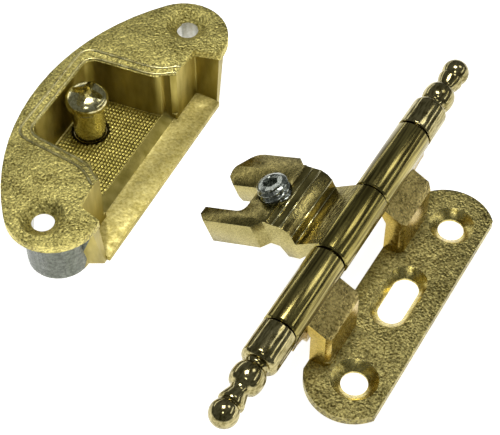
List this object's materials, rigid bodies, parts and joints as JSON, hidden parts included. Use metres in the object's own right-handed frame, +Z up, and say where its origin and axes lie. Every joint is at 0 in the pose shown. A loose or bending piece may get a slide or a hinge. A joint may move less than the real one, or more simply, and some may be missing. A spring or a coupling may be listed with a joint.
{
  "type": "door hinge",
  "caption": "Finial cabinet door hinge in two loose halves: a frame plate with barrel and forked arm, and a half-moon housing with a clamp screw for the door.",
  "frame": {"origin": "On the plane of the frame plate's back, straight below the middle of the hinge pin.", "axes": "+Y along the hinge pin to the upper finial, +X across to the frame plate, -X to the door housing, +Z up out of the plate's face."},
  "size_m": [0.0709, 0.0754, 0.0157],
  "materials": {
    "cast_brass": "as-cast grain under thin brass plating",
    "polished_brass": "polished brass plating",
    "steel": "drawn bright bar",
    "dark_steel": "oiled threaded rod"
  },
  "bodies": {
    "frame": {"frame_plate": "cast_brass", "hinge_pin": "steel", "upper_finial": "polished_brass", "lower_finial": "polished_brass"},
    "arm": {"door_arm": "polished_brass"},
    "set_screw_body": {"set_screw": "dark_steel"},
    "housing": {"door_housing": "cast_brass"},
    "clamp_screw_body": {"clamp_screw": "polished_brass"}
  },
  "joints": [
    {"name": "arm_turn", "type": "hinge", "parent": "frame", "child": "arm", "pos_m": [0, 0, 0.0123], "axis": [0, 1, 0], "range_deg": [-65, 115]},
    {"name": "set_screw_travel", "type": "slide", "parent": "arm", "child": "set_screw_body", "axis": [-0.4147, 0, 0.91], "range_m": [-0.0015, 0.001]},
    {"name": "housing_place", "type": "slide", "parent": "frame", "child": "housing", "axis": [0.9986, 0.0523, 0], "range_m": [0, 0.007]},
    {"name": "clamp_screw_travel", "type": "slide", "parent": "housing", "child": "clamp_screw_body", "axis": [0, 0, 1], "range_m": [0, 0.0012]}
  ]
}
